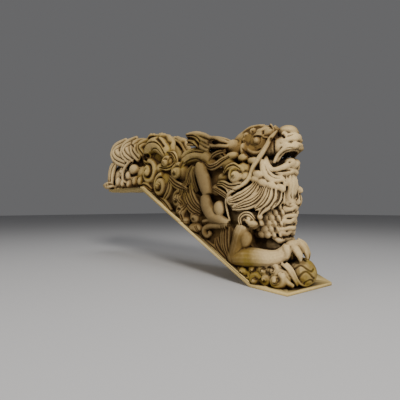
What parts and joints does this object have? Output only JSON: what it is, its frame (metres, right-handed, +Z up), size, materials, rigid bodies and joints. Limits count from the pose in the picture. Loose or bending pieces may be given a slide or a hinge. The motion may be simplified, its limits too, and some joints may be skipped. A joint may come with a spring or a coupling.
{
  "type": "chinese dragon sculpture",
  "caption": "Carved stone dragon that climbs a stair's balustrade, open-mouthed head and paw on a ball at the foot, body in arches among cloud scrolls, tail on the landing.",
  "frame": {"origin": "middle of the lower bed's underside, at the foot of the stair", "axes": "+X the way the dragon's head faces, down the stair; +Y the dragon's left; +Z up"},
  "size_m": [3.1592, 0.8755, 1.6479],
  "materials": {
    "lower_stone": "matte",
    "upper_stone": "matte"
  },
  "bodies": {
    "root": {"lower_stone": "lower_stone", "upper_stone": "upper_stone"}
  },
  "joints": []
}
